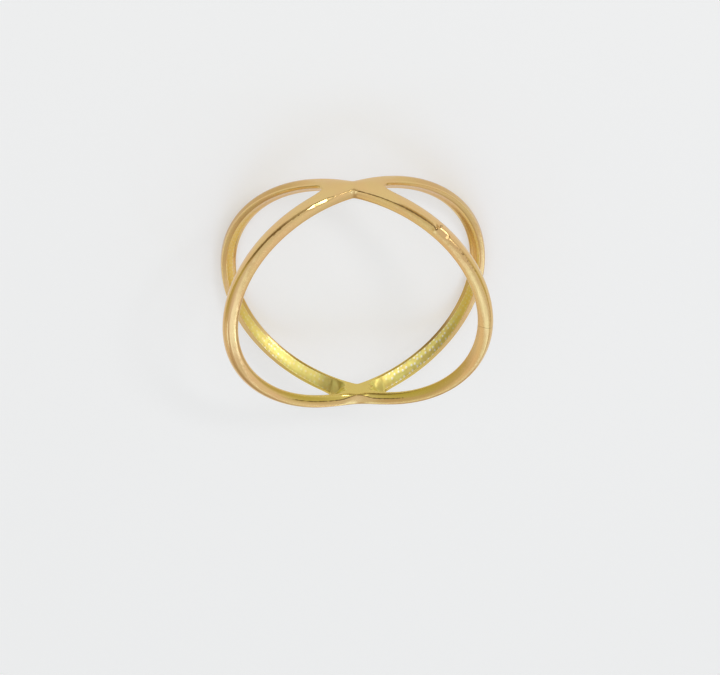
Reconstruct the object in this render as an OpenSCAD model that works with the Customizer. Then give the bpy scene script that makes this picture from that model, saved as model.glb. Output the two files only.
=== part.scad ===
// Crossover ring: two thin strands that part and cross twice round the finger.
// The finger's axis is Z, and the ring lies on its side as it would on a table.
// The strands cross at -Y and at +Y, and a lens-shaped window opens at +X and at -X.
// The origin is on the table, under the middle of the ring.

/* [Ring] */
// Outside diameter of the ring
ring_d = 19.4; // [17:0.1:23]
// Distance from the middle plane to a strand's middle, where the strands are widest apart
spread = 3.95; // [3.2:0.05:5]
// How much less steeply the strands leave a crossing than plain tilted hoops would
bow = 0.08; // [0:0.02:0.4]

/* [Strand] */
// Width of a strand at the crossings, along the finger
cross_w = 1.08; // [0.9:0.02:1.3]
// Width of a strand at the sides, along the finger
side_w = 0.86; // [0.8:0.02:1.3]
// Thickness of a strand at the crossings, from the outside in to the finger
cross_t = 1.04; // [0.9:0.02:1.4]
// Thickness of a strand at the sides, from the outside in to the finger
side_t = 1.12; // [0.9:0.02:1.4]

/* [Outer face] */
// Fall of the crowned outer face from its middle to its rim ridge, at the crossings
cross_crown_fall = 0.19; // [0.04:0.01:0.25]
// Fall of the crowned outer face from its middle to its rim ridge, at the sides
side_crown_fall = 0.2; // [0.04:0.01:0.3]
// Fall of the crowned outer face from its middle to its window ridge
window_crown_fall = 0.05; // [0.02:0.01:0.15]
// Softness of the notches in the rims at the crossings
notch_soft = 0.1; // [0.02:0.01:0.3]
// Softness of the notch that solder has filled, above the crossing at +Y
filled_notch = 0.45; // [0.02:0.01:0.6]
// Size of the web that blunts the ends of the windows at the crossing at -Y
front_web = 0.38; // [0.05:0.01:0.45]
// Size of that web at the crossing at +Y
back_web = 0.28; // [0.05:0.01:0.45]
// Length past a window's tip over which the crown moves from the crossing on to the strand
crown_run = 1.2; // [0.5:0.1:2.5]

/* [Rim] */
// Lean of the rim wall towards the window, outside to inside, at the crossings
cross_lean = 0.11; // [0:0.01:0.2]
// Lean of the rim wall towards the window, outside to inside, at the sides
side_lean = 0.23; // [0:0.01:0.24]
// Height of the rounding where the rim wall turns in to the finger
turn_h = 0.24; // [0.05:0.01:0.26]
// Depth of that rounding at the crossing at -Y
front_turn = 0.14; // [0.05:0.01:0.5]
// Depth of that rounding at the crossing at +Y
back_turn = 0.34; // [0.05:0.01:0.5]
// Width of the rim that touches the finger, between the rounding and the relief
rim_w = 0.14; // [0.08:0.01:0.16]
// Fall of that rim to the edge of the relief, at the crossings
cross_rim_fall = 0.06; // [0.02:0.01:0.12]
// Fall of that rim to the edge of the relief, at the sides
side_rim_fall = 0.24; // [0.02:0.01:0.28]

/* [Inner relief] */
// Thickness left at the window edge near the crossings, where the inside is scooped away
cross_left_t = 0.27; // [0.22:0.01:0.5]
// Thickness left at the window edge at the sides
side_left_t = 0.46; // [0.3:0.01:0.6]
// Hollow of the scooped face below a straight slope
scoop = 0.06; // [0:0.01:0.1]
// Distance from the middle of a crossing to the start of the relief
pad_l = 0.9; // [0.4:0.05:1.4]
// Length over which the relief runs down to its full depth
relief_run = 0.9; // [0.4:0.05:1.4]

/* [Hidden] */
ring_r = ring_d / 2;
half_height = spread + side_w / 2;
// Sections between the middle of a crossing and the tip of a window, and from there to the side
pad_steps = 7;
strand_steps = 27;
// Crowding of the sections towards the tip of the window, 1 being even
crowding = 1.5;
// Points on each curved stretch of a section
crown_steps = 4;
scoop_steps = 3;
turn_steps = 3;

// Gap under which the two strands count as one
closed = 0.001;

// 0 at the crossings and 1 at the sides
function side_share(a) = pow(sin(a), 2);
function blend(at_crossing, at_side, a) = at_crossing + (at_side - at_crossing) * side_share(a);
function smooth(t) = let(c = min(max(t, 0), 1)) c * c * (3 - 2 * c);
function width(a) = blend(cross_w, side_w, a);
function thickness(a) = blend(cross_t, side_t, a);
function lean(a) = blend(cross_lean, side_lean, a);

// Height of a strand's middle above the middle plane, at angle a from the crossing at -Y
function middle(a) = abs(sin(a)) * (spread - bow * pow(cos(a), 2));

// Half of the gap that the plain strands leave, negative where they overlap, and the web that narrows it
function half_gap(a) = middle(a) - width(a) / 2;
function web(a) = (front_web + (back_web - front_web) * (1 - cos(a)) / 2) * abs(cos(a));

// Heights of the rim and of the window edge away from the middle plane, where side is 1 for the upper loop
// and -1 for the lower one
function notch(a, side) = side > 0 && cos(a) < 0 ? filled_notch : notch_soft;
function rim_z(a, side) = sqrt(pow(middle(a), 2) + pow(notch(a, side) * cos(a), 2)) + width(a) / 2;
function window_z(a) =
    let(height = half_gap(a) > web(a) ? pow(pow(half_gap(a), 3) - pow(web(a), 3), 1 / 3) : 0)
    height > closed ? height : 0;

// Angle from the crossing at -Y or +Y at which the window opens, found by halving the range
function tip_angle(crossing, low = 0, high = 90, n = 40) =
    let(mid = (low + high) / 2)
    n == 0 ? mid
    : half_gap(mid) > web(crossing - mid) ? tip_angle(crossing, low, mid, n - 1)
    : tip_angle(crossing, mid, high, n - 1);
front_tip = tip_angle(0);
back_tip = tip_angle(180);

// Angles of the sections: a quarter turn from each crossing, together a half turn, and its mirror image
function quarter(tip) =
    concat([for (i = [0:pad_steps - 1]) tip * i / pad_steps],
           [for (i = [0:strand_steps]) tip + (90 - tip) * pow(i / strand_steps, crowding)]);
front = quarter(front_tip);
back = quarter(back_tip);
half_turn = concat(front, [for (i = [len(back) - 2:-1:0]) 180 - back[i]]);
angles = concat(half_turn, [for (i = [len(half_turn) - 2:-1:1]) 360 - half_turn[i]]);
rings = len(angles);

// Where the outer face is highest: 0 is the rim, and 1 the window edge or the middle of a crossing
function crown_place(a) =
    let(tip = cos(a) > 0 ? front_tip : back_tip)
    1 - smooth((abs(sin(a)) - sin(tip)) * ring_r / crown_run) / 2;
function crown_fall(a, u) =
    let(crown = crown_place(a))
    u <= crown ? blend(cross_crown_fall, side_crown_fall, a) * pow(1 - u / crown, 2)
    : window_crown_fall * pow((u - crown) / (1 - crown), 2);

// Share of the inner relief that is reached at angle a, and the thickness that it leaves at the window edge
function relief_share(a) = smooth((ring_r * abs(sin(a)) - pad_l) / relief_run);
function left_t(a) = thickness(a) + (blend(cross_left_t, side_left_t, a) - thickness(a)) * relief_share(a);

// A section through a loop, as points of [distance from the axis, distance from the middle plane]: the outer
// face from the rim ridge to the window, the scooped face back to the rim, and the rounding to the flat wall
function outer_face(a, side) =
    [for (i = [0:crown_steps])
        let(u = i / crown_steps)
        [ring_r - crown_fall(a, u), rim_z(a, side) + (window_z(a) - rim_z(a, side)) * u]];

function scooped_face(a, side) =
    let(rim_edge_z = rim_z(a, side) - lean(a) - turn_h - rim_w,
        rim_edge_t = thickness(a) - blend(cross_rim_fall, side_rim_fall, a) * relief_share(a))
    [for (i = [0:scoop_steps])
        let(u = i / scoop_steps,
            hollow = scoop * 4 * u * (1 - u) * relief_share(a),
            t = left_t(a) + (rim_edge_t - left_t(a)) * u - hollow)
        [ring_r - t, window_z(a) + (rim_edge_z - window_z(a)) * u]];

// The rounding is shallow at -Y and deep at +Y
function turn_depth(a) = front_turn + (back_turn - front_turn) * (1 - cos(a)) / 2;
function turn(a, side) =
    [for (i = [0:turn_steps])
        let(u = i / turn_steps)
        [ring_r - thickness(a) + turn_depth(a) * u * u,
         rim_z(a, side) - lean(a) - turn_h * (1 - 1.2 * u + 0.2 * u * u)]];

function section(a, side) = concat(outer_face(a, side), scooped_face(a, side), turn(a, side));
per_ring = len(section(0, 1));
ridge_index = crown_steps;

function place(p, a, side) = [p[0] * sin(a), -p[0] * cos(a), half_height + side * p[1]];
points = [for (side = [1, -1]) for (a = angles) for (p = section(a, side)) place(p, a, side)];

// From the middle of a crossing to a window's tip, the upper and the lower loop share their two points
// on the middle plane, and there is no face between these points
function joined(i) = window_z(angles[i % rings]) == 0;
function shared(i, k) = joined(i) && (k == ridge_index || k == ridge_index + 1);
function index(loop, i, k) =
    (loop == 1 && !shared(i, k) ? rings * per_ring : 0) + (i % rings) * per_ring + k % per_ring;

faces = [for (loop = [0, 1]) for (i = [0:rings - 1]) for (k = [0:per_ring - 1])
    if (k != ridge_index || !joined(i) || !joined(i + 1))
        let(a = index(loop, i, k),
            b = index(loop, i + 1, k),
            c = index(loop, i + 1, k + 1),
            d = index(loop, i, k + 1))
        each (loop == 0 ? [[a, b, c], [a, c, d]] : [[a, c, b], [a, d, c]])];

module band() {
    color("goldenrod") polyhedron(points, faces, convexity = 8);
}

band();
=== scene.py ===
"""Crossover ring in yellow gold: the finished surface over its solid, with a floor, lamps and a camera."""
import math

import bpy
from bpy.props import FloatProperty, FloatVectorProperty, PointerProperty
from mathutils import Matrix, Vector


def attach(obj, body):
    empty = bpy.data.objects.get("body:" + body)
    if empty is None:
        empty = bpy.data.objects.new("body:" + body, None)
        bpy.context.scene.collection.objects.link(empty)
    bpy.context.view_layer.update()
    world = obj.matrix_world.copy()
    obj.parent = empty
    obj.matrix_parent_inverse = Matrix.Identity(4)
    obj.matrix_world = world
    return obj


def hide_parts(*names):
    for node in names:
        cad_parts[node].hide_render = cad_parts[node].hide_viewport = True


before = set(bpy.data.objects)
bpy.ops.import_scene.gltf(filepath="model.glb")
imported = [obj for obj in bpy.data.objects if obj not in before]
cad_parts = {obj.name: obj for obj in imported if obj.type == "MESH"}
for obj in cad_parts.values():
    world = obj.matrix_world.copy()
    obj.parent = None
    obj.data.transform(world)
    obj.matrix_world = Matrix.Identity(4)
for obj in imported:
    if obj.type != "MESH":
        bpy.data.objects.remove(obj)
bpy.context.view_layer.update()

bl_info = {
    "name": "Crossover Ring",
    "version": (1, 0, 0),
    "blender": (4, 5, 0),
    "location": "3D View > Sidebar > Ring",
    "description": "Builds the gold surface of a crossover ring and the studio around it",
    "category": "Object",
}

# Sections from the middle of a crossing to a window's tip, and from there to the side, closer towards the tip
PAD_SECTIONS = 22
STRAND_SECTIONS = 122
CROWDING = 1.5
# Rows of points on each stretch of a section, in order round it, and on each rounded corner between two
OUTER_ROWS = 14
WINDOW_ROWS = 5
SCOOP_ROWS = 13
RIM_ROWS = 3
TURN_ROWS = 8
WALL_ROWS = 8
STRETCH_ROWS = (OUTER_ROWS, WINDOW_ROWS, SCOOP_ROWS, RIM_ROWS, TURN_ROWS, WALL_ROWS)
CORNER_ROWS = 4
# Row in the middle of each corner, named for the edge that it rounds. The rounding's own start needs no name.
RIDGE, OUTER_EDGE, INNER_EDGE, RIM_EDGE, _, WALL_EDGE = (
    CORNER_ROWS // 2 + sum(STRETCH_ROWS[:n]) + n * CORNER_ROWS for n in range(6))
# Largest share of a stretch that a rounded corner takes up
CORNER_SHARE = 0.4
# Gap in metres under which the two strands count as one, and the least length that a stretch is taken to have
CLOSED = 1e-9
TINY = 1e-6

# Forms and marks cover stretches of a strand. Columns: middle, half length and soft end, in degrees round the
# ring counted from the crossing at -Y towards +X, and the share that is reached.
# Ridge of the upper strand: where it is keen, and where it is rubbed to a small flat
KEEN_RIDGE = ((-18, 17, 3, 1), (29, 7, 3, 1), (-90, 22, 8, 1))
FLAT_BY_NOTCH = (14.5, 2.5, 5)
FLAT_BY_NICK = (-41, 2, 2)
RUBBED_FLATS = ((*FLAT_BY_NOTCH, 1), (*FLAT_BY_NICK, 1))
# Rounding that a keen ridge has lost and that these flats have gained, as shares of an edge's rounding
KEEN_LOSS = 0.8
FLAT_GAIN = ((*FLAT_BY_NOTCH, 1.8), (*FLAT_BY_NICK, 3.2))
# Where that ridge is worn soft: the middle, and the cosines of the angles from it of a first and a full wear
WORN_MIDDLE = math.radians(105)
WORN_START = 0.55
WORN_FULL = 0.9
# Upright flank of the upper strand, crease beside its filled notch, and deep rounding at the back of both
UPRIGHT_FLANK = ((88, 12, 28, 1),)
CREASE = ((168, 30, 20, 1),)
DEEP_ROUNDING = ((196, 45, 45, 1),)
# Share of its lean that the upright flank lacks
UPRIGHT_LOSS = 0.35
# Shares that the crease takes from the rounding's depth and extra height, and from its depth at the crossing
CREASE_DEPTH_LOSS = 0.1
CREASE_HEIGHT_LOSS = 0.4
CREASE_END_LOSS = 0.8
# Share of the rounding's extra depth that the lower strand has at the back, and of its height that it lacks
LOWER_DEPTH = 0.3
LOWER_HEIGHT_LOSS = 0.5
# Swing of the rounding: the least one, and the one that gives a crisp edge
LEAST_SWING = 0.2
CRISP_SWING = 1.1
# Share of the relief's run by which it starts later along its two edges
RELIEF_LAG = 0.35
# Share of the relief from which the metal is left as cast
CAST_FROM = 0.03
# Share of the upper window's swelling that the lower one has
LOWER_SWELLING = 0.2
# Place of the nick, and the shares of the outer face where it starts to run out and has run out
NICK_ANGLE = math.radians(-37.2)
NICK_FADE_START = 0.15
NICK_FADE_END = 0.5
# Painted shade in a dark line across the nick: its rows, its slant in radians, which is the other way from
# the nick's, its half width in radians and the share of painted shade in it
NICK_ROWS = RIDGE + 7
NICK_TRACE_SLANT = 0.04
NICK_TRACE_HALF = 0.006
NICK_PASTE = 0.9
# Painted shade: dark lines along the ridge, a darkened end of a hollow, and a dark line by the filled notch,
# where the rows beside the middle one have less of it
PASTE_ON_RIDGE = ((-19.5, 17, 2, 1), (-54, 8, 3, 0.5), (31, 7, 3, 0.5))
PASTE_BY_NOTCH = ((174, 24, 10, 1),)
PASTE_BY_NOTCH_MIDDLE = 0.85
PASTE_BY_NOTCH_BESIDE = 0.6
PASTE_IN_HOLLOW = ((168, 3, 5, 0.3),)
# Scooped faces: wheeled smooth, also in the part towards the rim, and painted lemon-bright where brightly lit
WHEELED = ((0, 42, 25, 1),)
WHEELED_RIM = ((-70, 25, 12, 1),)
WHEELED_RIM_START = 0.35
WHEELED_RIM_RUN = 0.3
FRESH = ((180, 40, 45, 1),)
# Domes: painted glints on their tops and more relief, most on one side, a little everywhere, more in one
# spot, and none by the back crossing
BRUSHED_MOST = ((-148, 12, 14, 1),)
BRUSHED_SPOT = ((137, 3, 4, 0.7),)
UNBRUSHED = ((180, 11, 6, 1),)
BRUSHED_LEAST = 0.25
# Painted reflection of the ring's gold round the back crossing, painted shade on the lower strand's front,
# the row where that shade ends, and the hairline seam
SOLDERED = ((180, 20, 35, 1),)
FLAME_STAIN = ((52, 18, 22, 1), (-55, 20, 25, 0.65))
STAIN_END = OUTER_EDGE - 3
SEAM_MIDDLE = 267.6
SEAM = ((SEAM_MIDDLE, 2, 2, 0.3),)

# Half the side of the floor, the middle of the ring and the lamps' distance from it, in metres
FLOOR_HALF = 1.5
RING_MIDDLE = Vector((0, 0, 0.0044))
LAMP_DISTANCE = 0.35
# Colours of the lamps' light
WHITE = (1, 1, 1)
DAYLIGHT = (0.65, 1.0, 1.4)


def linear(colour):
    """Turns an sRGB hex colour to the linear values that Blender's sockets take."""
    parts = [int(colour[i:i + 2], 16) / 255 for i in (0, 2, 4)]
    return [p / 12.92 if p <= 0.04045 else ((p + 0.055) / 1.055) ** 2.4 for p in parts]


def length(name, description, default, low, high):
    """A size in metres that the sidebar shows as a length."""
    return FloatProperty(name=name, description=description, default=default, min=low, max=high,
                         unit="LENGTH", subtype="DISTANCE", precision=5)


def tint(name, description, colour):
    """A colour that the sidebar shows as a swatch."""
    return FloatVectorProperty(name=name, description=description, default=linear(colour), min=0, max=1,
                               size=3, subtype="COLOR")


class RingSizes(bpy.types.PropertyGroup):
    """Sizes of the ring. They are the solid's, but the crown falls more at the sides, the back's rounding is
    deeper, the notches are sharper, and polishing has rounded the edges and swelled the faces"""
    ring_d: length("Ring diameter", "Outside diameter of the ring", 0.0194, 0.017, 0.023)
    spread: length("Spread", "Middle plane to a strand's middle, where the strands are widest apart",
                   0.00395, 0.0032, 0.005)
    bow: length("Bow", "How much less steeply the strands leave a crossing than tilted hoops",
                0.00008, 0, 0.0004)
    cross_w: length("Width at the crossings", "Width of a strand at the crossings", 0.00108, 0.0009, 0.0013)
    side_w: length("Width at the sides", "Width of a strand at the sides", 0.00086, 0.0008, 0.0013)
    cross_t: length("Thickness at the crossings", "Thickness of a strand at the crossings",
                    0.00104, 0.0009, 0.0014)
    side_t: length("Thickness at the sides", "Thickness of a strand at the sides", 0.00112, 0.0009, 0.0014)
    cross_crown_fall: length("Crown fall at the crossings", "Fall of the outer face to the rim ridge",
                             0.00019, 0.00004, 0.00025)
    side_crown_fall: length("Crown fall at the sides", "Fall of the outer face to the rim ridge",
                            0.00024, 0.00004, 0.0003)
    window_crown_fall: length("Crown fall at the window", "Fall of the outer face to the window ridge",
                              0.00005, 0.00002, 0.00015)
    notch_soft: length("Notch softness", "Softness of the notches in the rims at the crossings",
                       0.00005, 0.00002, 0.0003)
    filled_notch: length("Filled notch", "Softness of the notch above the crossing at +Y, filled with solder",
                         0.00045, 0.00002, 0.0006)
    front_web: length("Front web", "Web that blunts the ends of the windows at the crossing at -Y",
                      0.00038, 0.00005, 0.00045)
    back_web: length("Back web", "That web at the crossing at +Y", 0.00028, 0.00005, 0.00045)
    crown_run: length("Crown run", "Length over which the crown moves on to the strand",
                      0.0012, 0.0005, 0.0025)
    cross_lean: length("Lean at the crossings", "Lean of the rim wall towards the window", 0.00011, 0, 0.0002)
    side_lean: length("Lean at the sides", "Lean of the rim wall towards the window", 0.00023, 0, 0.00024)
    wall_bulge: length("Wall bulge", "How far the rim wall swells from a flat one", 0.00003, 0, 0.00006)
    turn_h: length("Rounding height", "Height over which the rim wall turns in to the finger",
                   0.00024, 0.00005, 0.00026)
    front_turn: length("Front rounding", "Depth of that rounding at the crossing at -Y",
                       0.00014, 0.00005, 0.0005)
    back_turn: length("Back rounding", "Depth of that rounding at the crossing at +Y",
                      0.0004, 0.00005, 0.0005)
    back_soft: length("Back softness", "Extra height of that rounding at the crossing at +Y",
                      0.00012, 0, 0.0002)
    crease_l: length("Crease", "Length from the crossing at +Y over which the creased rounding deepens",
                     0.0014, 0.0005, 0.003)
    rim_w: length("Rim width", "Width of the rim that touches the finger", 0.00014, 0.00008, 0.00016)
    cross_rim_fall: length("Rim fall at the crossings", "Fall of the rim to the relief",
                           0.00006, 0.00002, 0.00012)
    side_rim_fall: length("Rim fall at the sides", "Fall of the rim to the relief", 0.00024, 0.00002, 0.00028)
    cross_left_t: length("Window edge at the crossings", "Thickness left by the relief",
                         0.00027, 0.00022, 0.0005)
    side_left_t: length("Window edge at the sides", "Thickness left by the relief", 0.00046, 0.0003, 0.0006)
    scoop: length("Scoop", "Hollow of the scooped face", 0.00006, 0, 0.0001)
    pad_l: length("Pad length", "Middle of a crossing to the start of the relief", 0.0009, 0.0004, 0.0014)
    relief_run: length("Relief run", "Length over which the relief reaches its depth", 0.0009, 0.0004, 0.0014)
    window_bulge: length("Window bulge", "How far the face at the window edge swells", 0.00004, 0, 0.00006)
    edge_r: length("Edge rounding", "How far polishing has rounded each edge", 0.00006, 0.00001, 0.0001)
    worn_r: length("Worn ridge", "Rounding of the rim ridge where it is worn soft", 0.00024, 0.00005, 0.0003)
    nick_depth: length("Nick depth", "Depth of the nick across the upper ridge", 0.00012, 0, 0.0002)
    nick_w: length("Nick width", "Half width of that nick", 0.00009, 0.00002, 0.0002)
    nick_slant: length("Nick slant", "How far along the strand it slants over the outer face",
                       0.0004, 0, 0.001)


class RingFinish(bpy.types.PropertyGroup):
    """Colours of the two gold surfaces"""
    polished: tint("Polished gold", "Colour of the polished faces", "E7C787")
    ruddy: tint("Ruddy gold", "Tint of the polished faces where they were heated", "E8C086")
    # Painted reflection: olive gold painted on the polished inner faces round the back crossing, standing in
    # for their reflection of the ring's own gold
    solder: tint("Painted reflection", "Tint of the polished inner faces round the soldered crossing", "E2C971")
    # Painted shade: brown darkening painted on the front of the lower strand's outer face
    stain: tint("Painted lower shade", "Brown tint that the flame has left on the front of the lower strand", "D2AB69")
    # Painted shade: colour of the dark lines along the ridge, by the notch and across the nick, and of a
    # darkened hollow end; the seam takes it too
    paste: tint("Painted shade", "Dark trace along the keen ridge", "6B4A1E")
    cast: tint("As-cast gold", "Colour of the scooped faces inside", "F1CC74")
    wheeled: tint("Wheeled cast gold", "Colour of those faces where a wheel has rubbed them smooth", "DDB06C")
    # Painted light: the lemon colour that stands in for the glare where the scooped faces are brightly lit
    lemon: tint("Lemon gold", "Colour of those faces where they are fresh from the mould", "ECE286")
    # Painted glints: pale colour painted on the tops of the domes, standing in for sparks of the lamps
    pale: tint("Painted glints", "Colour of the tops of their tiny domes", "FFFBEA")


class StudioLook(bpy.types.PropertyGroup):
    """Floor and camera"""
    floor: tint("Floor", "Colour of the floor", "D1D2D5")
    camera_at: FloatVectorProperty(name="Camera", description="Place of the camera", size=3,
                                   subtype="TRANSLATION", unit="LENGTH", precision=5,
                                   default=(0.007045, -0.1558, 0.21205))
    camera_aim: FloatVectorProperty(name="Aim", description="Point that the camera looks at", size=3,
                                    subtype="TRANSLATION", unit="LENGTH", precision=5,
                                    default=(-0.000263, 0.004071, 0.00438))
    camera_roll: FloatProperty(name="Roll", description="Turn of the camera about its line of sight",
                               default=math.radians(175.567), subtype="ANGLE")
    lens: FloatProperty(name="Lens", description="Focal length on a 36 mm wide sensor, in millimetres",
                        default=179.206, min=20, max=400)


class Strand:
    """The section of a strand at each angle round the ring, counted from the crossing at -Y towards +X.

    Loop 0 is the upper strand and loop 1 the lower one. Heights are counted from the plane between them.
    """

    def __init__(self, sizes):
        self.s = sizes
        self.radius = sizes.ring_d / 2
        self.front_tip = self.tip_angle(0)
        self.back_tip = self.tip_angle(math.pi)

    def blend(self, crossing, side, a):
        """Passes from a value at the crossings to one at the sides."""
        return crossing + (side - crossing) * math.sin(a) ** 2

    def thickness(self, a):
        return self.blend(self.s.cross_t, self.s.side_t, a)

    def width(self, a):
        return self.blend(self.s.cross_w, self.s.side_w, a)

    def middle(self, a):
        """Height of the strand's middle."""
        return abs(math.sin(a)) * (self.s.spread - self.s.bow * math.cos(a) ** 2)

    def half_gap(self, a):
        """Half the gap that the plain strands leave, negative where they overlap."""
        return self.middle(a) - self.width(a) / 2

    def web(self, a):
        """What narrows that half gap near the crossings."""
        web = self.s.front_web + (self.s.back_web - self.s.front_web) * (1 - math.cos(a)) / 2
        return web * abs(math.cos(a))

    def rim_z(self, a, loop):
        """Height of the rim."""
        notch = self.s.filled_notch if loop == 0 and math.cos(a) < 0 else self.s.notch_soft
        return math.hypot(self.middle(a), notch * math.cos(a)) + self.width(a) / 2

    def window_z(self, a):
        """Height of the window's edge, 0 where the strands are joined."""
        gap = self.half_gap(a)
        web = self.web(a)
        return (gap ** 3 - web ** 3) ** (1 / 3) if gap > web + CLOSED else 0.0

    def tip_angle(self, crossing):
        """Angle from a crossing at which the window opens, found by halving the range."""
        low = 0.0
        high = math.pi / 2
        for _ in range(50):
            mid = (low + high) / 2
            if self.half_gap(mid) > self.web(crossing - mid):
                high = mid
            else:
                low = mid
        return high

    def quarter(self, tip):
        """Angles of the sections from the middle of a crossing, past its window's tip, to the side."""
        pad = [tip * i / PAD_SECTIONS for i in range(PAD_SECTIONS)]
        return pad + [tip + (math.pi / 2 - tip) * (i / STRAND_SECTIONS) ** CROWDING
                      for i in range(STRAND_SECTIONS + 1)]

    def angles(self):
        """A quarter turn from each crossing, together a half turn, and its mirror image."""
        half = self.quarter(self.front_tip) + [math.pi - a for a in self.quarter(self.back_tip)[-2::-1]]
        return half + [2 * math.pi - a for a in half[-2:0:-1]]

    def outer_fall(self, a, u):
        """Fall of the crowned outer face, where u is 0 at the rim ridge and 1 at the window."""
        tip = self.front_tip if math.cos(a) > 0 else self.back_tip
        past_tip = (abs(math.sin(a)) - math.sin(tip)) * self.radius
        crown = 1 - smooth(past_tip / self.s.crown_run) / 2
        if u <= crown:
            return self.blend(self.s.cross_crown_fall, self.s.side_crown_fall, a) * (1 - u / crown) ** 2
        return self.s.window_crown_fall * ((u - crown) / (1 - crown)) ** 2

    def relief(self, a, u):
        """Share of the relief that is reached, later along its two edges, so that its end is rounded."""
        late = RELIEF_LAG * self.s.relief_run * (2 * u - 1) ** 2
        past_pad = self.radius * abs(math.sin(a)) - self.s.pad_l - late
        return smooth(past_pad / ((1 - RELIEF_LAG) * self.s.relief_run))

    def left_thickness(self, a, u):
        """Thickness at the scooped face, where u is 0 at the window and 1 at the rim."""
        whole = self.thickness(a)
        at_window = self.blend(self.s.cross_left_t, self.s.side_left_t, a) - whole
        at_rim = -self.blend(self.s.cross_rim_fall, self.s.side_rim_fall, a)
        hollow = self.s.scoop * arch(u)
        return whole + (at_window + (at_rim - at_window) * u - hollow) * self.relief(a, u)

    def ridge_r(self, a, loop):
        """Rounding of the ridge, on the upper strand soft on one flank, keen on the other, wide at flats."""
        if loop == 1:
            return self.s.edge_r
        worn = smooth((math.cos(a - WORN_MIDDLE) - WORN_START) / (WORN_FULL - WORN_START))
        rounding = self.s.edge_r * (1 - KEEN_LOSS * along(a, KEEN_RIDGE) + along(a, FLAT_GAIN))
        return rounding + (self.s.worn_r - self.s.edge_r) * worn

    def rubbed_flat(self, a, loop):
        """Share of the ridge that is rubbed to a small flat."""
        return along(a, RUBBED_FLATS) if loop == 0 else 0

    def nick(self, a, u, loop):
        """Depth of the nick that crosses the upper strand's ridge, where u runs over the outer face."""
        if loop == 1:
            return 0
        past_nick = turned(a, NICK_ANGLE) * self.radius - self.s.nick_slant * u
        fading = smooth((u - NICK_FADE_START) / (NICK_FADE_END - NICK_FADE_START))
        return self.s.nick_depth * math.exp(-(past_nick / self.s.nick_w) ** 2) * (1 - fading)

    def rounding(self, a, loop):
        """Depth and height of the rounding between rim wall and finger, both greater at the back."""
        s = self.s
        back = along(a, DEEP_ROUNDING)
        if loop == 1:
            depth = s.front_turn + LOWER_DEPTH * (s.back_turn - s.front_turn) * back
            return depth, s.turn_h * (1 - LOWER_HEIGHT_LOSS * back)
        crease = along(a, CREASE)
        by_crossing = 1 - smooth(abs(math.sin(a)) * self.radius / s.crease_l)
        depth = s.front_turn + (s.back_turn * (1 - CREASE_DEPTH_LOSS * crease) - s.front_turn) * back
        depth *= 1 - CREASE_END_LOSS * by_crossing * crease
        return depth, s.turn_h + s.back_soft * back * (1 - CREASE_HEIGHT_LOSS * crease)

    def section(self, a, loop):
        """Points of a section as distance from the ring's axis and height, row by row from the rim ridge."""
        s = self.s
        r = self.radius
        rim = self.rim_z(a, loop)
        window = self.window_z(a)
        whole = self.thickness(a)
        upright = along(a, UPRIGHT_FLANK) if loop == 0 else 0
        crease = along(a, CREASE) if loop == 0 else 0
        lean = self.blend(s.cross_lean, s.side_lean, a) * (1 - UPRIGHT_LOSS * upright)
        depth, turn_h = self.rounding(a, loop)
        # The rounding runs on into the wall without an edge, except where the flank is upright or creased
        crisp = max(upright, crease)
        wall_slope = (lean + 4 * s.wall_bulge) / (whole - depth - self.outer_fall(a, 0))
        swing = max(LEAST_SWING, 2 - 2 * depth * wall_slope / turn_h) * (1 - crisp) + CRISP_SWING * crisp
        rim_edge = rim - lean - turn_h - s.rim_w
        # The window's edges are sharp at its tip, and rounded once it is four roundings high
        opened = smooth(window / (4 * s.edge_r))

        def outer(u):
            return Vector((r - self.outer_fall(a, u) - self.nick(a, u, loop), rim + (window - rim) * u))

        def window_wall(u):
            swelling = s.window_bulge * opened * (1 if loop == 0 else LOWER_SWELLING)
            return outer(1).lerp(scooped(0), u) - Vector((0, swelling * late_arch(u)))

        def scooped(u):
            return Vector((r - self.left_thickness(a, u), window + (rim_edge - window) * u))

        def rim_face(u):
            return scooped(1).lerp(Vector((r - whole, rim_edge + s.rim_w)), u)

        def turn(u):
            risen = turn_h * (1 - swing * u + (swing - 1) * u * u)
            return Vector((r - whole + depth * u * u, rim - lean - risen))

        def wall(u):
            return turn(1).lerp(outer(0), u) + Vector((0, s.wall_bulge * arch(u)))

        faces = (outer, window_wall, scooped, rim_face, turn, wall)
        # How round the corner at each stretch's start is: 1 rounds it to its radius, and 0 leaves it sharp
        rounded = (1, opened, opened, 1, 1, 1)
        flats = (self.rubbed_flat(a, loop), 0, 0, 0, 0, 0)
        radii = (self.ridge_r(a, loop),) + (s.edge_r,) * 5
        points = []
        for n, (face, rows) in enumerate(zip(faces, STRETCH_ROWS)):
            before = faces[n - 1]
            size = (face(1) - face(0)).length + TINY
            size_before = (before(1) - before(0)).length + TINY
            start = min(CORNER_SHARE, radii[n] / size)
            end = min(CORNER_SHARE, radii[(n + 1) % 6] / size)
            bend_from = before(1 - min(CORNER_SHARE, radii[n] / size_before))
            points += corner(bend_from, face(0), face(start), rounded[n], flats[n])
            points += [face(start + (1 - start - end) * i / rows) for i in range(1, rows)]
        return points


def smooth(t):
    """0 below 0, 1 above 1 and an even ease between."""
    c = min(max(t, 0.0), 1.0)
    return c * c * (3 - 2 * c)


def arch(u):
    """0 at the ends and 1 in the middle."""
    return 4 * u * (1 - u)


def late_arch(u):
    """0 at the ends and 1 at two thirds of the way."""
    return 6.75 * u * u * (1 - u)


def turned(a, middle):
    """Angle from middle to a, the short way round."""
    return (a - middle + math.pi) % (2 * math.pi) - math.pi


def around(a, middle, half, ease):
    """1 within half of a middle angle, easing to 0 outside it."""
    return 1 - smooth((abs(turned(a, middle)) - half) / ease)


def along(a, stretches):
    """Share that the largest of the stretches reaches at an angle, each easing to 0 past its ends."""
    return max(share * around(a, math.radians(middle), math.radians(half), math.radians(ease))
               for middle, half, ease, share in stretches)


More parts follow.
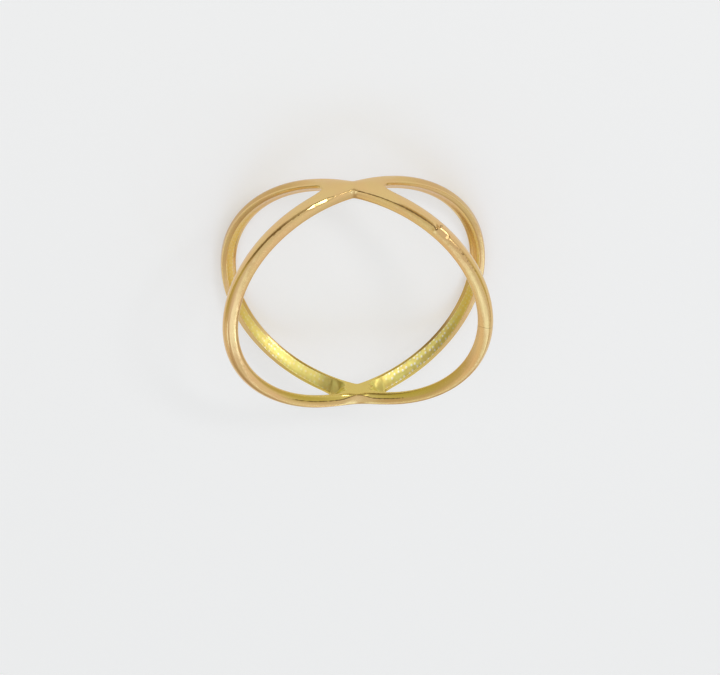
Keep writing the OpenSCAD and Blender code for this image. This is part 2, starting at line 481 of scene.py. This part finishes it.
def corner(start, tip, end, share, flat):
    """Points of a rounded corner. A share of 0 keeps it sharp, and a flat of 1 turns it to a bevel."""
    points = []
    for i in range(CORNER_ROWS + 1):
        t = i / CORNER_ROWS
        bent = (start * (1 - t) ** 2 + tip * (2 * t * (1 - t)) + end * t * t).lerp(start.lerp(end, t), flat)
        straight = start.lerp(tip, 2 * t) if t < 0.5 else tip.lerp(end, 2 * t - 1)
        points.append(straight.lerp(bent, share))
    return points


def across_scoop(row):
    """How far across the scooped face a row lies, 0 at the window and 1 at the rim."""
    return (row - INNER_EDGE) / (RIM_EDGE - INNER_EDGE)


def paste_left(a, loop, k):
    """Share of painted shade, dark lines and a darkened hollow end, on the point in row k of a section."""
    if loop == 1:
        return along(a, PASTE_IN_HOLLOW) if INNER_EDGE < k < RIM_EDGE else 0
    if abs(k - WALL_EDGE) <= 1:
        share = PASTE_BY_NOTCH_MIDDLE if k == WALL_EDGE else PASTE_BY_NOTCH_BESIDE
        return share * along(a, PASTE_BY_NOTCH)
    on_ridge = along(a, PASTE_ON_RIDGE) if k <= CORNER_ROWS else 0
    if k > NICK_ROWS:
        return on_ridge
    trace = NICK_ANGLE - NICK_TRACE_SLANT * k / NICK_ROWS
    return max(on_ridge, NICK_PASTE * around(a, trace, NICK_TRACE_HALF, NICK_TRACE_HALF))


def surface_marks(strand, a, loop, k):
    """Shares of each mark on the point in row k of a section, by the name of the attribute that holds it."""
    towards_rim = smooth((across_scoop(k) - WHEELED_RIM_START) / WHEELED_RIM_RUN)
    brushed = max(BRUSHED_LEAST + (1 - BRUSHED_LEAST) * along(a, BRUSHED_MOST), along(a, BRUSHED_SPOT))
    on_front = loop == 1 and RIDGE < k < STAIN_END
    return {
        # Scooped faces: rubbed smooth by a wheel, painted lemon-bright where lit, and painted glints on their
        # domes
        "rubbed": max(along(a, WHEELED), towards_rim * along(a, WHEELED_RIM)),
        "fresh": along(a, FRESH),
        "brushed": brushed * (1 - along(a, UNBRUSHED)),
        # Both surfaces: painted shade, in dark lines and a darkened hollow end
        "paste": paste_left(a, loop, k),
        # Polished faces: painted reflection round the back crossing, painted shade on the lower strand's
        # front, burnished on the small flats, crossed by the seam
        "soldered": along(a, SOLDERED) if OUTER_EDGE <= k <= WALL_EDGE else 0,
        "stained": along(a, FLAME_STAIN) if on_front else 0,
        "burnished": strand.rubbed_flat(a, loop) if k <= CORNER_ROWS else 0,
        "seamed": along(a, SEAM) if loop == 0 else 0,
    }


def ring_mesh(sizes):
    """The two strands as one closed mesh, which share their points on the middle plane over the crossings."""
    strand = Strand(sizes)
    angles = strand.angles()
    count = len(angles)
    half_height = sizes.spread + sizes.side_w / 2
    sections = [[strand.section(a, loop) for a in angles] for loop in (0, 1)]
    rows = len(sections[0][0])
    joined = [strand.window_z(a) == 0 for a in angles]
    verts = []
    index = {}

    def vertex(loop, i, k):
        """Number of the point in row k of section i, which is added when it is first asked for."""
        i %= count
        k %= rows
        shared = joined[i] and OUTER_EDGE <= k <= INNER_EDGE
        if shared:
            loop = 0
        if (loop, i, k) not in index:
            out, height = sections[loop][i][k]
            side = 0 if shared else 1 - 2 * loop
            index[loop, i, k] = len(verts)
            verts.append((out * math.sin(angles[i]), -out * math.cos(angles[i]), half_height + side * height))
        return index[loop, i, k]

    # Metres across the section at the side and along the strand, for the patterns that follow the metal
    at_side = sections[0][count // 4]
    across = [0.0]
    for k in range(1, rows + 1):
        across.append(across[-1] + (at_side[k % rows] - at_side[k - 1]).length)
    ends = [a * strand.radius for a in angles + [2 * math.pi]]
    faces = []
    finish = []
    layout = []
    for loop in (0, 1):
        for i in range(count):
            for k in range(rows):
                if joined[i] and joined[(i + 1) % count] and OUTER_EDGE <= k < INNER_EDGE:
                    continue
                quad = [vertex(loop, i, k), vertex(loop, i + 1, k),
                        vertex(loop, i + 1, k + 1), vertex(loop, i, k + 1)]
                spots = [(ends[i], across[k]), (ends[i + 1], across[k]),
                         (ends[i + 1], across[k + 1]), (ends[i], across[k + 1])]
                faces.append(quad if loop == 0 else quad[::-1])
                layout += spots if loop == 0 else spots[::-1]
                place = across_scoop(k + 0.5)
                finish.append(1 if 0 < place < 1 and strand.relief(angles[i], place) > CAST_FROM else 0)
    mesh = bpy.data.meshes.new("crossover_band")
    mesh.from_pydata(verts, [], faces)
    mesh.polygons.foreach_set("material_index", finish)
    mesh.polygons.foreach_set("use_smooth", [True] * len(faces))
    mesh.uv_layers.new(name="strand").data.foreach_set("uv", [v for spot in layout for v in spot])
    marked = [surface_marks(strand, angles[i], loop, k) for loop, i, k in index]
    for name in marked[0]:
        shares = [marks[name] for marks in marked]
        mesh.attributes.new(name, "FLOAT", "POINT").data.foreach_set("value", shares)
    mesh.update()
    return mesh


def add_node(tree, kind, settings=None, inputs=None):
    """Adds a node, sets its properties and sets or links its inputs.

    A mix of colours takes them at its inputs 6 and 7, and gives the result at its output 2.
    """
    made = tree.nodes.new(kind)
    for name, value in (settings or {}).items():
        setattr(made, name, value)
    for name, value in (inputs or {}).items():
        if isinstance(value, bpy.types.NodeSocket):
            tree.links.new(value, made.inputs[name])
        else:
            made.inputs[name].default_value = value
    return made


def new_material(name):
    """An empty node material of that name."""
    material = bpy.data.materials.new(name)
    material.use_nodes = True
    material.node_tree.nodes.clear()
    return material


def per(millimetres):
    """Scale of a texture whose features are that far apart, where its coordinates are metres."""
    return 1000.0 / millimetres


def polished_gold(tints, seam_at):
    """Yellow gold of 14 carat, cast, filed and then polished by hand on a wheel.

    It gives the eye soft, slightly wavy reflections, hair-fine lines along the strand, and a tint that drifts
    a little where the alloy has been heated. Painted shade darkens it in lines along the keen ridge, by the
    filled notch and across the nick, and a hairline seam crosses the upper strand at the length seam_at.
    """
    material = new_material("polished_yellow_gold")
    tree = material.node_tree
    place = add_node(tree, "ShaderNodeTexCoord").outputs["Object"]
    strand = add_node(tree, "ShaderNodeUVMap", {"uv_map": "strand"}).outputs["UV"]
    # Heat tint in patches about 2.5 mm across
    drift = add_node(tree, "ShaderNodeTexNoise", None, {"Vector": place, "Scale": per(2.5), "Detail": 2.0})
    drift_share = add_node(tree, "ShaderNodeMapRange", None, {
        "Value": drift.outputs["Fac"], "From Min": 0.35, "From Max": 0.65})
    tinted = add_node(tree, "ShaderNodeMix", {"data_type": "RGBA"}, {
        "Factor": drift_share.outputs["Result"], 6: (*tints.polished, 1), 7: (*tints.ruddy, 1)})
    # Painted reflection: olive gold on the faces round the back crossing, standing in for the ring reflecting
    # itself
    joint = add_node(tree, "ShaderNodeAttribute", {"attribute_name": "soldered"})
    yellowed = add_node(tree, "ShaderNodeMix", {"data_type": "RGBA"}, {
        "Factor": joint.outputs["Fac"], 6: tinted.outputs[2], 7: (*tints.solder, 1)})
    # Painted shade: the lower strand's outer face is painted browner and darker at its front
    flame = add_node(tree, "ShaderNodeAttribute", {"attribute_name": "stained"})
    browned = add_node(tree, "ShaderNodeMix", {"data_type": "RGBA"}, {
        "Factor": flame.outputs["Fac"], 6: yellowed.outputs[2], 7: (*tints.stain, 1)})
    # Where the painted shade is thin it breaks into dots 0.2 mm apart
    left = add_node(tree, "ShaderNodeAttribute", {"attribute_name": "paste"})
    dots = add_node(tree, "ShaderNodeTexNoise", None, {"Vector": place, "Scale": per(0.2), "Detail": 1.0})
    thick = add_node(tree, "ShaderNodeMath", {"operation": "SUBTRACT"}, {
        0: left.outputs["Fac"], 1: dots.outputs["Fac"]})
    paste_share = add_node(tree, "ShaderNodeMapRange", None, {
        "Value": thick.outputs["Value"], "From Min": 0.0, "From Max": 0.2, "To Max": 0.8})
    pasted = add_node(tree, "ShaderNodeMix", {"data_type": "RGBA"}, {
        "Factor": paste_share.outputs["Result"], 6: browned.outputs[2], 7: (*tints.paste, 1)})
    # A hairline seam 0.06 mm wide where the wire's ends were joined by solder, in the painted shade's colour
    reached = add_node(tree, "ShaderNodeSeparateXYZ", None, {"Vector": strand})
    on_seam = add_node(tree, "ShaderNodeMath", {"operation": "COMPARE"}, {
        0: reached.outputs["X"], 1: seam_at, 2: 0.00003})
    seamed = add_node(tree, "ShaderNodeAttribute", {"attribute_name": "seamed"})
    seam = add_node(tree, "ShaderNodeMath", {"operation": "MULTIPLY"}, {
        0: on_seam.outputs["Value"], 1: seamed.outputs["Fac"]})
    crossed = add_node(tree, "ShaderNodeMix", {"data_type": "RGBA"}, {
        "Factor": seam.outputs["Value"], 6: pasted.outputs[2], 7: (*tints.paste, 1)})
    # Polishing lines 0.05 mm apart and about 2.5 mm long, coarser than real ones so that they show
    stretched = add_node(tree, "ShaderNodeMapping", None, {
        "Vector": strand, "Scale": (per(2.5), per(0.05), 1)})
    lines = add_node(tree, "ShaderNodeTexNoise", {"noise_dimensions": "2D"}, {
        "Vector": stretched.outputs["Vector"], "Scale": 1.0, "Detail": 3.0})
    gloss = add_node(tree, "ShaderNodeMapRange", None, {
        "Value": lines.outputs["Fac"], "From Min": 0.3, "From Max": 0.7, "To Min": 0.13, "To Max": 0.26})
    # The small rubbed flats are burnished brighter than the rest
    burnished = add_node(tree, "ShaderNodeAttribute", {"attribute_name": "burnished"})
    brighter = add_node(tree, "ShaderNodeMapRange", None, {
        "Value": burnished.outputs["Fac"], "To Min": 1.0, "To Max": 0.75})
    glossy = add_node(tree, "ShaderNodeMath", {"operation": "MULTIPLY"}, {
        0: gloss.outputs["Result"], 1: brighter.outputs["Result"]})
    # Waves 0.7 mm apart, left by the hand that held the ring to the wheel
    waves = add_node(tree, "ShaderNodeTexNoise", None, {"Vector": place, "Scale": per(0.7), "Detail": 1.5})
    waviness = add_node(tree, "ShaderNodeMapRange", None, {
        "Value": burnished.outputs["Fac"], "To Min": 0.35, "To Max": 0.05})
    wavy = add_node(tree, "ShaderNodeBump", None, {
        "Height": waves.outputs["Fac"], "Strength": waviness.outputs["Result"], "Distance": 0.00003})
    lined = add_node(tree, "ShaderNodeBump", None, {
        "Height": lines.outputs["Fac"], "Normal": wavy.outputs["Normal"],
        "Strength": 0.25, "Distance": 0.000004})
    shader = add_node(tree, "ShaderNodeBsdfPrincipled", None, {
        "Base Color": crossed.outputs[2], "Metallic": 1.0, "Roughness": glossy.outputs["Value"],
        "Normal": lined.outputs["Normal"]})
    add_node(tree, "ShaderNodeOutputMaterial", None, {"Surface": shader.outputs["BSDF"]})
    return material


def cast_gold(tints):
    """The same gold as its mould left it, only pickled clean.

    It gives the eye a satin skin: rows of tiny domes, their tops painted pale as glints, on fine grain.
    It is painted lemon-bright, as if brightly lit, in a mottle round the back crossing,
    and near the front crossing a wheel has rubbed it smooth again.
    """
    material = new_material("as_cast_yellow_gold")
    tree = material.node_tree
    place = add_node(tree, "ShaderNodeTexCoord").outputs["Object"]
    strand = add_node(tree, "ShaderNodeUVMap", {"uv_map": "strand"}).outputs["UV"]
    rubbed = add_node(tree, "ShaderNodeAttribute", {"attribute_name": "rubbed"}).outputs["Fac"]
    fresh = add_node(tree, "ShaderNodeAttribute", {"attribute_name": "fresh"}).outputs["Fac"]
    # Painted light: lemon-bright gold where the faces are brightly lit, mottled in spots about 0.5 mm across
    mottle = add_node(tree, "ShaderNodeTexNoise", None, {"Vector": place, "Scale": per(0.5), "Detail": 3.0})
    mottled = add_node(tree, "ShaderNodeMapRange", None, {
        "Value": mottle.outputs["Fac"], "From Min": 0.35, "From Max": 0.65, "To Min": 0.55, "To Max": 1.0})
    bright = add_node(tree, "ShaderNodeMath", {"operation": "MULTIPLY"}, {
        0: mottled.outputs["Result"], 1: fresh})
    skin = add_node(tree, "ShaderNodeMix", {"data_type": "RGBA"}, {
        "Factor": bright.outputs["Value"], 6: (*tints.cast, 1), 7: (*tints.lemon, 1)})
    # Domes in rows, 0.36 mm apart along the strand and 0.22 mm across it, coarser than real ones to show
    rows = add_node(tree, "ShaderNodeMapping", None, {"Vector": strand, "Scale": (per(0.36), per(0.22), 1)})
    domes = add_node(tree, "ShaderNodeTexVoronoi", {"voronoi_dimensions": "2D", "feature": "SMOOTH_F1"}, {
        "Vector": rows.outputs["Vector"], "Scale": 1.0, "Smoothness": 0.2, "Randomness": 0.5})
    # Painted glints: the tops of the domes are painted paler, standing in for sparks of the lamps
    brushed = add_node(tree, "ShaderNodeAttribute", {"attribute_name": "brushed"})
    top = add_node(tree, "ShaderNodeMapRange", None, {
        "Value": domes.outputs["Distance"], "From Min": 0.12, "From Max": 0.3, "To Min": 1.0, "To Max": 0.0})
    touched = add_node(tree, "ShaderNodeMath", {"operation": "MULTIPLY"}, {
        0: top.outputs["Result"], 1: brushed.outputs["Fac"]})
    paled = add_node(tree, "ShaderNodeMix", {"data_type": "RGBA"}, {
        "Factor": touched.outputs["Value"], 6: skin.outputs[2], 7: (*tints.pale, 1)})
    smoothed = add_node(tree, "ShaderNodeMix", {"data_type": "RGBA"}, {
        "Factor": rubbed, 6: paled.outputs[2], 7: (*tints.wheeled, 1)})
    # Painted shade: the end of one hollow is darkened a little
    left = add_node(tree, "ShaderNodeAttribute", {"attribute_name": "paste"})
    pasted = add_node(tree, "ShaderNodeMix", {"data_type": "RGBA"}, {
        "Factor": left.outputs["Fac"], 6: smoothed.outputs[2], 7: (*tints.paste, 1)})
    # The domes stand out most where the painted glints are, under grain 0.07 mm apart
    grain = add_node(tree, "ShaderNodeTexNoise", None, {"Vector": place, "Scale": per(0.07), "Detail": 2.0})
    relief = add_node(tree, "ShaderNodeMapRange", None, {
        "Value": brushed.outputs["Fac"], "To Min": 0.05, "To Max": 0.5})
    domed = add_node(tree, "ShaderNodeBump", {"invert": True}, {
        "Height": domes.outputs["Distance"], "Strength": relief.outputs["Result"], "Distance": 0.00004})
    grainy = add_node(tree, "ShaderNodeBump", None, {
        "Height": grain.outputs["Fac"], "Normal": domed.outputs["Normal"],
        "Strength": 0.5, "Distance": 0.000015})
    satin = add_node(tree, "ShaderNodeMapRange", None, {"Value": rubbed, "To Min": 0.4, "To Max": 0.2})
    shader = add_node(tree, "ShaderNodeBsdfPrincipled", None, {
        "Base Color": pasted.outputs[2], "Metallic": 1.0, "Roughness": satin.outputs["Result"],
        "Normal": grainy.outputs["Normal"]})
    add_node(tree, "ShaderNodeOutputMaterial", None, {"Surface": shader.outputs["BSDF"]})
    return material


def floor_card(colour):
    """Matt white photo card on a light table.

    It gives the eye an even pale ground with faint paper fibre, and hardly a shadow, as the table glows.
    """
    material = new_material("matt_photo_card")
    tree = material.node_tree
    place = add_node(tree, "ShaderNodeTexCoord").outputs["Object"]
    # Paper fibre 0.4 mm apart
    fibre = add_node(tree, "ShaderNodeTexNoise", None, {"Vector": place, "Scale": per(0.4), "Detail": 3.0})
    rough = add_node(tree, "ShaderNodeBump", None, {
        "Height": fibre.outputs["Fac"], "Strength": 0.1, "Distance": 0.00003})
    shader = add_node(tree, "ShaderNodeBsdfPrincipled", None, {
        "Base Color": (*colour, 1), "Roughness": 0.9, "Normal": rough.outputs["Normal"],
        "Emission Color": (*colour, 1), "Emission Strength": 0.55})
    add_node(tree, "ShaderNodeOutputMaterial", None, {"Surface": shader.outputs["BSDF"]})
    return material


def towards(heading, height):
    """Unit vector to a heading, counted in degrees from +X to +Y, and a height above the horizon."""
    heading = math.radians(heading)
    height = math.radians(height)
    level = math.cos(height)
    return Vector((math.cos(heading) * level, math.sin(heading) * level, math.sin(height)))


def add_softbox(scene, name, heading, height, size, strength, colour):
    """A rectangular soft light that faces the ring. Its strength is the light that its face gives off."""
    light = bpy.data.lights.new(name, "AREA")
    light.shape = "RECTANGLE"
    light.size, light.size_y = size
    light.energy = strength * math.pi * size[0] * size[1]
    light.color = colour
    lamp = bpy.data.objects.new(name, light)
    scene.collection.objects.link(lamp)
    lamp.location = RING_MIDDLE + towards(heading, height) * LAMP_DISTANCE
    lamp.rotation_euler = (lamp.location - RING_MIDDLE).to_track_quat("Z", "Y").to_euler()


def studio_world():
    """White tent round the ring, with patches where its cloth is duller or brighter."""
    world = bpy.data.worlds.new("studio")
    world.use_nodes = True
    tree = world.node_tree
    tree.nodes.clear()
    place = add_node(tree, "ShaderNodeTexCoord").outputs["Generated"]
    shade = (0.72, 0.72, 0.72, 1)
    # Columns: heading, height and half widths of the patch's core and of its soft edge in degrees, colour
    patches = [(-42, 12, 14, 42, (0.2, 0.16, 0.09)), (-78, 0, 10, 24, (0.42, 0.38, 0.28)),
               (0, 22, 12, 34, (0.54, 0.52, 0.24)), (175, 20, 10, 34, (0.58, 0.55, 0.3)),
               (138, 32, 6, 16, (0.86, 0.84, 0.86)), (100, 66, 6, 18, (0.83, 0.85, 0.96)),
               (78, 14, 14, 36, (0.5, 0.45, 0.37)), (82, 46, 5, 15, (0.62, 0.58, 0.52)),
               (55, 19, 4, 11, (0.9, 0.86, 0.75)), (28, 43, 6, 18, (0.58, 0.55, 0.4)),
               (41, 29, 5, 13, (0.86, 0.81, 0.74)), (-108, 30, 10, 26, (0.3, 0.3, 0.27)),
               (-116, 13, 6, 18, (0.5, 0.42, 0.26)), (143, 6, 6, 14, (0.42, 0.37, 0.28))]
    for heading, height, core, edge, tone in patches:
        facing = add_node(tree, "ShaderNodeVectorMath", {"operation": "DOT_PRODUCT"}, {
            0: place, 1: towards(heading, height)})
        share = add_node(tree, "ShaderNodeMapRange", {"interpolation_type": "SMOOTHSTEP"}, {
            "Value": facing.outputs["Value"], "From Min": math.cos(math.radians(edge)),
            "From Max": math.cos(math.radians(core)), "To Min": 0.0, "To Max": 1.0})
        mixed = add_node(tree, "ShaderNodeMix", {"data_type": "RGBA"}, {
            "Factor": share.outputs["Result"], 6: shade, 7: (*tone, 1)})
        shade = mixed.outputs[2]
    sky = add_node(tree, "ShaderNodeBackground", None, {"Color": shade, "Strength": 1.0})
    add_node(tree, "ShaderNodeOutputWorld", None, {"Surface": sky.outputs["Background"]})
    return world


class RING_OT_build_band(bpy.types.Operator):
    """Build the band's finished gold surface in place of its plain solid"""
    bl_idname = "crossover_ring.build_band"
    bl_label = "Build the band"

    def execute(self, context):
        band = bpy.data.objects.new("crossover_band", ring_mesh(context.scene.ring_sizes))
        context.scene.collection.objects.link(band)
        finish = context.scene.ring_finish
        seam_at = math.radians(SEAM_MIDDLE) * context.scene.ring_sizes.ring_d / 2
        band.data.materials.append(polished_gold(finish, seam_at))
        band.data.materials.append(cast_gold(finish))
        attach(band, "root")
        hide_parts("band")
        return {"FINISHED"}


class RING_OT_build_stage(bpy.types.Operator):
    """Lay the floor and set the lights and the camera"""
    bl_idname = "crossover_ring.build_stage"
    bl_label = "Build the stage"

    def execute(self, context):
        scene = context.scene
        look = scene.studio_look
        mesh = bpy.data.meshes.new("floor")
        corners = [(x * FLOOR_HALF, y * FLOOR_HALF, 0) for x, y in ((-1, -1), (1, -1), (1, 1), (-1, 1))]
        mesh.from_pydata(corners, [], [(0, 1, 2, 3)])
        floor = bpy.data.objects.new("floor", mesh)
        scene.collection.objects.link(floor)
        mesh.materials.append(floor_card(look.floor))

        scene.world = studio_world()
        scene.view_settings.view_transform = "Standard"
        # Columns: name, heading and height in degrees, width and height of the face, strength and colour
        lamps = [("front_softbox", -88, 50, (0.14, 0.12), 1.0, WHITE),
                 ("spark_lamp", -119, 40, (0.08, 0.04), 8, WHITE),
                 ("spot_lamp", -134, 40, (0.045, 0.05), 9, WHITE),
                 ("left_softbox", 117, 51, (0.12, 0.1), 0.62, DAYLIGHT),
                 ("edge_lamp", 126, 40, (0.025, 0.03), 3.4, DAYLIGHT),
                 ("right_softbox", 58, 45, (0.1, 0.08), 0.7, DAYLIGHT)]
        for lamp in lamps:
            add_softbox(scene, *lamp)

        camera = bpy.data.cameras.new("camera")
        camera.sensor_width = 36
        camera.lens = look.lens
        camera.clip_start = 0.01
        camera.clip_end = 10
        eye = bpy.data.objects.new("camera", camera)
        scene.collection.objects.link(eye)
        place = Vector(look.camera_at)
        ahead = Vector(look.camera_aim) - place
        turn = ahead.to_track_quat("-Z", "Y").to_matrix() @ Matrix.Rotation(look.camera_roll, 3, "Z")
        eye.matrix_world = Matrix.Translation(place) @ turn.to_4x4()
        scene.camera = eye
        return {"FINISHED"}


class RING_PT_panel(bpy.types.Panel):
    """Lists the ring's operators and sizes"""
    bl_label = "Crossover Ring"
    bl_idname = "RING_PT_panel"
    bl_space_type = "VIEW_3D"
    bl_region_type = "UI"
    bl_category = "Ring"

    def draw(self, context):
        layout = self.layout
        layout.operator(RING_OT_build_band.bl_idname)
        layout.operator(RING_OT_build_stage.bl_idname)
        for group in (context.scene.ring_sizes, context.scene.ring_finish, context.scene.studio_look):
            for name in group.__annotations__:
                layout.prop(group, name)


CLASSES = (RingSizes, RingFinish, StudioLook, RING_OT_build_band, RING_OT_build_stage, RING_PT_panel)


def register():
    for cls in CLASSES:
        bpy.utils.register_class(cls)
    bpy.types.Scene.ring_sizes = PointerProperty(type=RingSizes)
    bpy.types.Scene.ring_finish = PointerProperty(type=RingFinish)
    bpy.types.Scene.studio_look = PointerProperty(type=StudioLook)


def unregister():
    del bpy.types.Scene.studio_look
    del bpy.types.Scene.ring_finish
    del bpy.types.Scene.ring_sizes
    for cls in reversed(CLASSES):
        bpy.utils.unregister_class(cls)


def main():
    register()
    bpy.ops.crossover_ring.build_stage()
    bpy.ops.crossover_ring.build_band()


if __name__ == "__main__":
    main()
